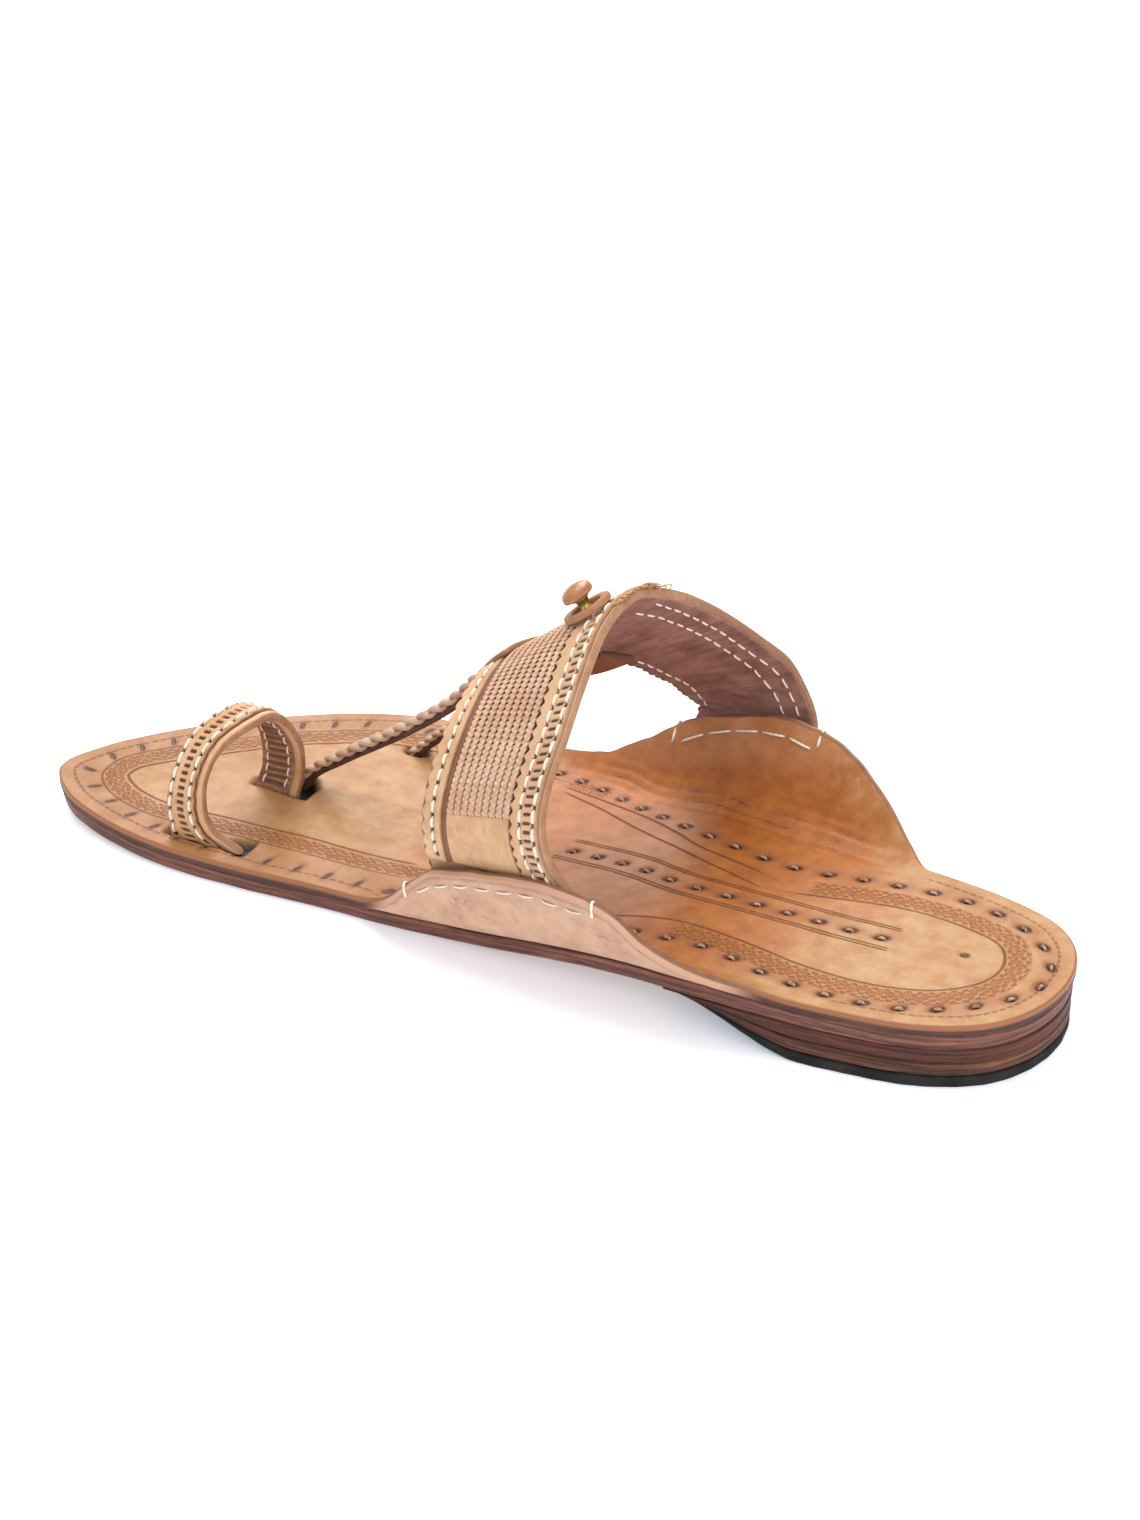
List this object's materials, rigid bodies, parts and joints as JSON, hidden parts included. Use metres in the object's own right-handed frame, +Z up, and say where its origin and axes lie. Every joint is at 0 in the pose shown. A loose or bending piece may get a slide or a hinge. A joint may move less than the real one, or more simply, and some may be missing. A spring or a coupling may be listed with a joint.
{
  "type": "kolhapuri sandal",
  "caption": "Flat leather sandal for the right foot: sole with bent-up side ears, broad braided instep band, toe ring, braided thongs and a button stud.",
  "frame": {"origin": "middle of the bottom of the bounding box, on the ground under the sole", "axes": "+Y from heel to toe, +X towards the outer side of the foot, +Z up"},
  "size_m": [0.109, 0.2794, 0.0938],
  "materials": {
    "tread_rubber": "matt black rubber",
    "heel_leather": "stacked sole leather, dyed and burnished edge",
    "outsole_leather": "sole leather, dyed and burnished edge",
    "insole_leather": "vegetable tanned, oiled and tooled",
    "band_leather": "vegetable tanned, plain",
    "braid_leather": "fine braided leather cord",
    "lining_leather": "thin brown lining leather",
    "stitch_thread": "white cotton thread",
    "stud_brass": "worn brass",
    "stud_leather": "polished stacked leather button"
  },
  "bodies": {
    "root": {"heel_tread": "tread_rubber", "heel_lift_lower": "heel_leather", "heel_lift_upper": "heel_leather", "outsole": "outsole_leather", "insole": "insole_leather", "instep_band": "band_leather", "band_rear_strip": "band_leather", "band_braid_panel": "braid_leather", "band_front_strip": "band_leather", "toe_ring": "band_leather", "toe_ring_cover": "band_leather", "thong": "braid_leather", "thong_tab": "band_leather", "side_thong": "braid_leather", "side_thong_tab": "lining_leather", "stud_stem": "stud_brass", "stud_head": "stud_leather", "stud_loop": "band_leather"}
  },
  "joints": []
}
